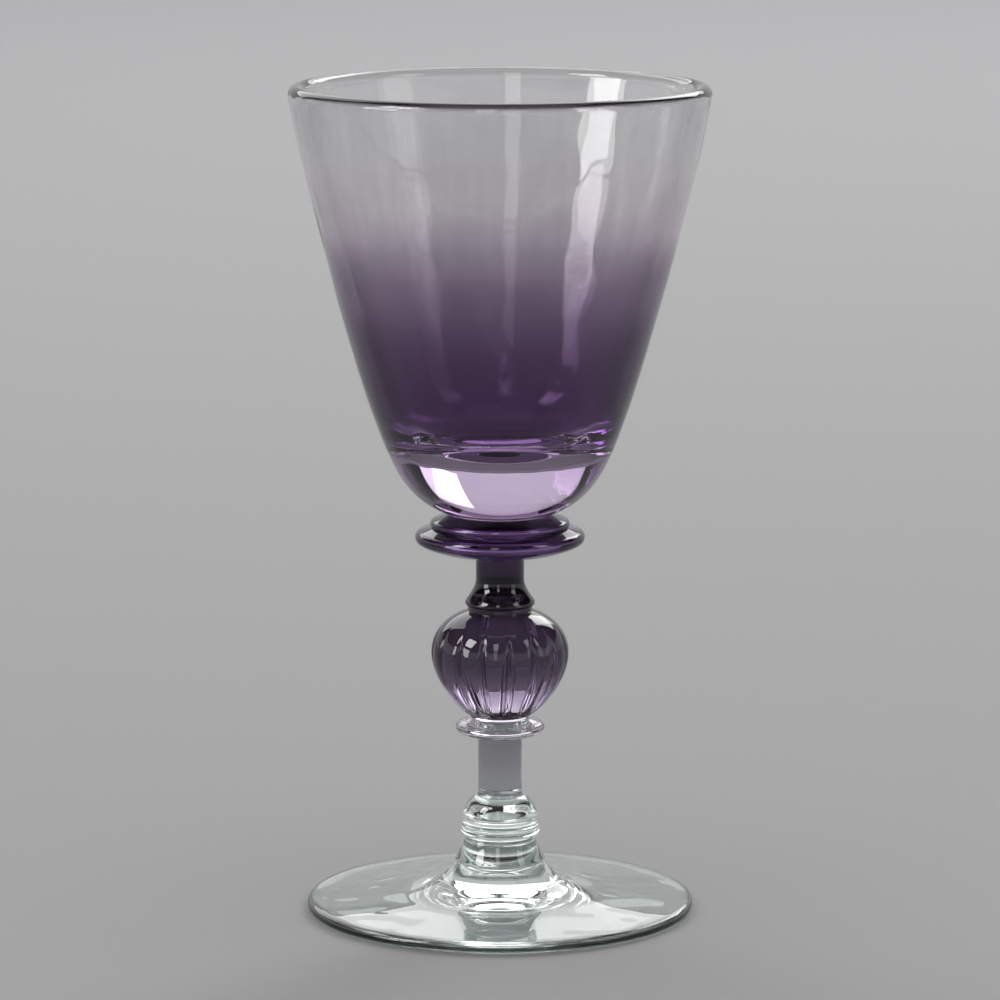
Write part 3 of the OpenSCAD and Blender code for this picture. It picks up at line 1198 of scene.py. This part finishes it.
@dataclass
class Base:
    """The clear pieces at the bottom: two wound rings, the bell and the foot.

    Attributes:
        ball_foot_r: Radius of the ball knop's underside, which the upper ring meets.
        upper_ring_h: Thickness of the upper ring.
        upper_ring_r: Outer radius of the upper ring.
        lower_ring_h: Thickness of the lower ring.
        lower_ring_r: Outer radius of the lower ring.
        core_r: Radius of the core inside both rings.
        bell_h: Height of the bell.
        neck_r: Radius of the bell's shoulder.
        bell_r: Radius at the bell's lower edge.
        bell_edge_r: Radius of the rounding on that edge.
        bell_side: Bend of the bell's side from that edge up to the shoulder.
        foot_h: Height of the foot.
        foot_r: Outer radius of the foot.
        foot_edge_h: Thickness at the foot's rounded edge.
        foot_slope: Slope of the foot's upper face, in degrees.
        hub_run: How far out that slope turns up to the hub, as a share of the foot's width
            round it.
        hub: Bend of the section from there up to the hub's top.
        rest_w: Width of the flat ring that the foot stands on.
        under_slope: Slope of the hollow underside inside that ring, in degrees.
        pontil_r: Radius of the polished hollow in the middle of the underside.
        pontil_depth: Depth of that hollow.
    """

    ball_foot_r: float = 7.45
    upper_ring_h: float = 1.25
    upper_ring_r: float = 8.4
    lower_ring_h: float = 1.8
    lower_ring_r: float = 8.6
    core_r: float = 6.6
    bell_h: float = 5.9
    neck_r: float = 7.5
    bell_r: float = 9.8
    bell_edge_r: float = 0.45
    bell_side: Bend = Bend(113.0, 1.318543, 90.0, 1.160318)
    foot_h: float = 10.2
    foot_r: float = 42.1
    foot_edge_h: float = 2.4
    foot_slope: float = 3.6
    hub_run: float = 0.386
    hub: Bend = Bend(176.4, 7.5849, 130.0, 4.229121)
    rest_w: float = 2.4
    under_slope: float = 3.6
    pontil_r: float = 7.5
    pontil_depth: float = 0.5

    def ring(self, outer_r: float, height: float, below_r: float, above_r: float) -> Outline:
        """Draw a ring of glass wound round the core.

        Args:
            outer_r: Outer radius.
            height: Thickness.
            below_r: Radius out to which the ring is fused to what is under it.
            above_r: Radius out to which it is fused to what is over it.

        Returns:
            The outline, which is closed on the core.
        """
        edge = arc((outer_r - height / 2, height / 2), height / 2, -90, 90, steps=20)
        outline = Outline().line((self.core_r, 0.0), (below_r, 0.0), kind=Face.FUSED)
        outline.line(*edge, (above_r, height))
        return outline.line((self.core_r, height), (self.core_r, 0.0), kind=Face.FUSED)

    def bell(self) -> Outline:
        """Draw the bell with the core that stands on it."""
        centre = (self.bell_r - self.bell_edge_r, self.bell_edge_r)
        edge = arc(centre, self.bell_edge_r, -90, self.bell_side.leaves - 90)
        core_top = self.bell_h + self.lower_ring_h + self.upper_ring_h
        side = self.bell_side.points(edge[-1], (self.neck_r, self.bell_h))
        core = ((self.core_r, self.bell_h), (self.core_r, core_top), (0.0, core_top))
        outline = Outline().line((0.0, 0.0), edge[0], kind=Face.FUSED).line(*edge, *side)
        return outline.line(*core, kind=Face.FUSED)

    def foot(self) -> Outline:
        """Draw the foot, from the middle of its hollow to the middle of its hub."""
        steps = 24
        edge_r = self.foot_edge_h / 2
        rest_r = self.foot_r - edge_r - self.rest_w
        under_h = (rest_r - self.pontil_r) * math.tan(math.radians(self.under_slope))
        ball_r = (self.pontil_r**2 + self.pontil_depth**2) / (2 * self.pontil_depth)
        hollow = arc(
            (0.0, under_h + self.pontil_depth - ball_r),
            ball_r,
            90,
            90 - math.degrees(math.asin(self.pontil_r / ball_r)),
            steps=16,
        )
        edge = arc((self.foot_r - edge_r, edge_r), edge_r, -90, 90 - self.foot_slope, steps)
        hub = (self.bell_r - self.bell_edge_r, self.foot_h)
        run_r = hub[0] + self.hub_run * (self.foot_r - hub[0])
        slope = math.tan(math.radians(self.foot_slope))
        run = (run_r, edge[-1][1] + (edge[-1][0] - run_r) * slope)
        plain = [
            (r, edge[-1][1] + (edge[-1][0] - r) * slope)
            for r in (edge[-1][0] + (run_r - edge[-1][0]) * i / steps for i in range(1, steps))
        ]
        rise = self.hub.points(run, hub, steps=32)
        under = [
            (self.pontil_r + (rest_r - self.pontil_r) * i / steps, under_h * (1 - i / steps))
            for i in range(1, steps + 1)
        ]
        # The rounded edge takes the lining, whose dark band is partly painted shade.
        outline = Outline().line(*hollow, *under).line(*edge, kind=Face.LINING)
        outline.line(*plain, *rise)
        return outline.line((0.0, self.foot_h), kind=Face.FUSED)

    def build(self) -> None:
        """Build the rings, the bell and the foot."""
        between = self.lower_ring_r - self.lower_ring_h / 2
        upper = self.ring(self.upper_ring_r, self.upper_ring_h, between, self.ball_foot_r)
        lower = self.ring(self.lower_ring_r, self.lower_ring_h, self.neck_r, between)
        slot = "clear_glass"
        Turned("wound_ring_upper", "upper_ring", slot, CLEAR, LEVELS.upper_ring, upper).build()
        Turned("wound_ring_lower", "lower_ring", slot, CLEAR, LEVELS.lower_ring, lower).build()
        Turned("flared_bell", "bell", slot, CLEAR, LEVELS.bell, self.bell()).build()
        Turned(
            "round_foot", "foot", slot, FOOT_CLEAR, 0.0, self.foot(), lining=FOOT_EDGE_GREEN_AND_SHADE
        ).build()


@dataclass(frozen=True)
class Softbox:
    """A plain rectangular studio lamp that faces the goblet.

    Attributes:
        name: Name of the lamp.
        azimuth: Direction from the goblet, in degrees right of the camera.
        elevation: Direction above level, in degrees.
        distance: Distance from the goblet's middle, in metres.
        width: Width of its face, in metres.
        height: Height of its face, in metres.
        radiance: Brightness of its face.
        flagged: True if flags keep its light off the floor.
    """

    name: str
    azimuth: float
    elevation: float
    distance: float
    width: float
    height: float
    radiance: float
    flagged: bool = False

    def build(self, aim: Vector) -> None:
        """Hang the lamp.

        Args:
            aim: Point that it faces, in metres.
        """
        data = bpy.data.lights.new(self.name, "AREA")
        data.shape = "RECTANGLE"
        data.size = self.width
        data.size_y = self.height
        data.energy = self.radiance * math.pi * self.width * self.height
        lamp = bpy.data.objects.new(self.name, data)
        turn, lift = math.radians(self.azimuth), math.radians(self.elevation)
        away = Vector(
            (math.sin(turn) * math.cos(lift), -math.cos(turn) * math.cos(lift), math.sin(lift))
        )
        lamp.location = aim + away * self.distance
        lamp.rotation_euler = away.to_track_quat("Z", "Y").to_euler()
        lamp.visible_camera = False
        lamp.visible_diffuse = not self.flagged
        bpy.context.scene.collection.objects.link(lamp)


@dataclass
class Studio:
    """The pale floor, the room round it, the soft lamps and the camera.

    Attributes:
        paint: Paint of the floor, with its painted pool of light.
        floor_r: Radius of the floor, in metres.
        gap: How far the floor's face lies under the foot, in metres.
        fill: Strength of the light that the room sends onto matt paint.
        backdrop: Strength of the pale backdrop that stands round the floor.
        backdrop_top: Elevations between which the backdrop ends, in degrees.
        ceiling: Strength of the dark room above the backdrop, as the glass shows it.
        camera_at: Place of the camera, in metres.
        camera_tilt: Tilt of the camera from straight down, in degrees.
        lens: Focal length, in millimetres.
        sensor: Width of the sensor, in millimetres.
        clip: Distances from the camera between which things show, in metres.
        softboxes: The lamps.
    """

    paint: FloorPaintWithLightPool = FloorPaintWithLightPool()
    floor_r: float = 8.0
    gap: float = 0.0001
    fill: float = 0.35
    backdrop: float = 0.6
    backdrop_top: tuple[float, float] = (17.0, 18.5)
    ceiling: float = 0.02
    camera_at: tuple[float, float, float] = (0.0, -1.08966, 0.27849)
    camera_tilt: float = 80.192
    lens: float = 184.2
    sensor: float = 36.0
    clip: tuple[float, float] = (0.05, 40.0)
    # Each one's name, azimuth, elevation, distance, width, height and radiance.
    softboxes: tuple[Softbox, ...] = (
        Softbox("back_panel", 186.0, 38.0, 4.0, 5.1, 3.1, 2.0),
        Softbox("back_window", 153.0, 32.0, 3.6, 1.25, 1.5, 4.0),
        Softbox("overhead", 0.0, 90.0, 4.2, 3.2, 3.2, 0.8),
        Softbox("left_window", -68.0, 11.7, 3.6, 1.4, 1.18, 6.3, flagged=True),
        Softbox("left_skylight", -64.0, 38.0, 3.6, 1.2, 1.3, 11.0, flagged=True),
        Softbox("front_window", -8.0, 14.0, 3.6, 0.6, 1.5, 1.4, flagged=True),
        Softbox("front_skylight", -8.0, 38.0, 3.6, 0.6, 1.3, 3.2, flagged=True),
        Softbox("right_window", 66.0, 14.0, 3.6, 1.2, 1.5, 1.0, flagged=True),
        Softbox("right_skylight", 66.0, 38.0, 3.6, 1.0, 1.3, 3.0, flagged=True),
    )

    def place_camera(self) -> None:
        """Set the camera at the photograph's angle."""
        data = bpy.data.cameras.new("camera")
        data.lens = self.lens
        data.sensor_width = self.sensor
        data.clip_start, data.clip_end = self.clip
        camera = bpy.data.objects.new("camera", data)
        camera.location = self.camera_at
        camera.rotation_euler = (math.radians(self.camera_tilt), 0.0, 0.0)
        bpy.context.scene.collection.objects.link(camera)
        bpy.context.scene.camera = camera

    def build_floor(self) -> None:
        """Build the round floor."""
        bm = bmesh.new()
        bmesh.ops.create_circle(bm, cap_ends=True, segments=96, radius=self.floor_r)
        bmesh.ops.translate(bm, verts=bm.verts[:], vec=(0.0, 0.0, -self.gap))
        mesh = bpy.data.meshes.new("floor")
        bm.to_mesh(mesh)
        bm.free()
        mesh.materials.append(self.paint.material())
        floor = bpy.data.objects.new("floor", mesh)
        bpy.context.scene.collection.objects.link(floor)

    def light_room(self) -> None:
        """Give the room its soft fill, its pale backdrop and its dark ceiling."""
        world = bpy.data.worlds.new("studio_room")
        tree = empty_tree(world)
        path = add_node(tree, "ShaderNodeLightPath")
        depth = path.outputs["Diffuse Depth"]
        lighting = add_node(tree, "ShaderNodeMath", {"operation": "GREATER_THAN"}, {0: depth})
        white = linear("#FFFFFF")
        direction = add_node(tree, "ShaderNodeTexCoord").outputs["Generated"]
        rise = add_node(tree, "ShaderNodeSeparateXYZ", links={"Vector": direction}).outputs["Z"]
        low, high = (math.sin(math.radians(angle)) for angle in self.backdrop_top)
        strength = add_node(
            tree,
            "ShaderNodeMapRange",
            {"From Min": low, "From Max": high, "To Min": self.backdrop, "To Max": self.ceiling},
            {"Value": rise},
        ).outputs["Result"]
        fill = add_node(tree, "ShaderNodeBackground", {"Color": white, "Strength": self.fill})
        seen = add_node(tree, "ShaderNodeBackground", {"Color": white}, {"Strength": strength})
        mixed = add_node(
            tree,
            "ShaderNodeMixShader",
            links={
                "Fac": lighting.outputs["Value"],
                1: seen.outputs["Background"],
                2: fill.outputs["Background"],
            },
        )
        add_node(tree, "ShaderNodeOutputWorld", links={"Surface": mixed.outputs["Shader"]})
        bpy.context.scene.world = world

    def build(self) -> None:
        """Build the whole studio."""
        self.place_camera()
        self.build_floor()
        self.light_room()
        aim = Vector((0.0, 0.0, GOBLET_H * MM / 2))
        for softbox in self.softboxes:
            softbox.build(aim)
            log.info("lamp %s", softbox.name)


def trace_glass_fully() -> None:
    """Let rays pass through all the walls of a clear piece in front of another."""
    scene = bpy.context.scene
    scene.view_settings.view_transform = "Standard"
    scene.cycles.max_bounces = 32
    scene.cycles.transmission_bounces = 32
    scene.cycles.glossy_bounces = 16
    scene.cycles.transparent_max_bounces = 48


def main() -> None:
    """Build the studio and then the goblet, from the rim down."""
    logging.basicConfig(level=logging.INFO)
    Studio().build()
    for assembly in (Bowl(), UpperStem(), RibbedKnop(), LowerStem(), Base()):
        assembly.build()
        log.info("built %s", type(assembly).__name__)
    trace_glass_fully()


if __name__ == "__main__":
    main()
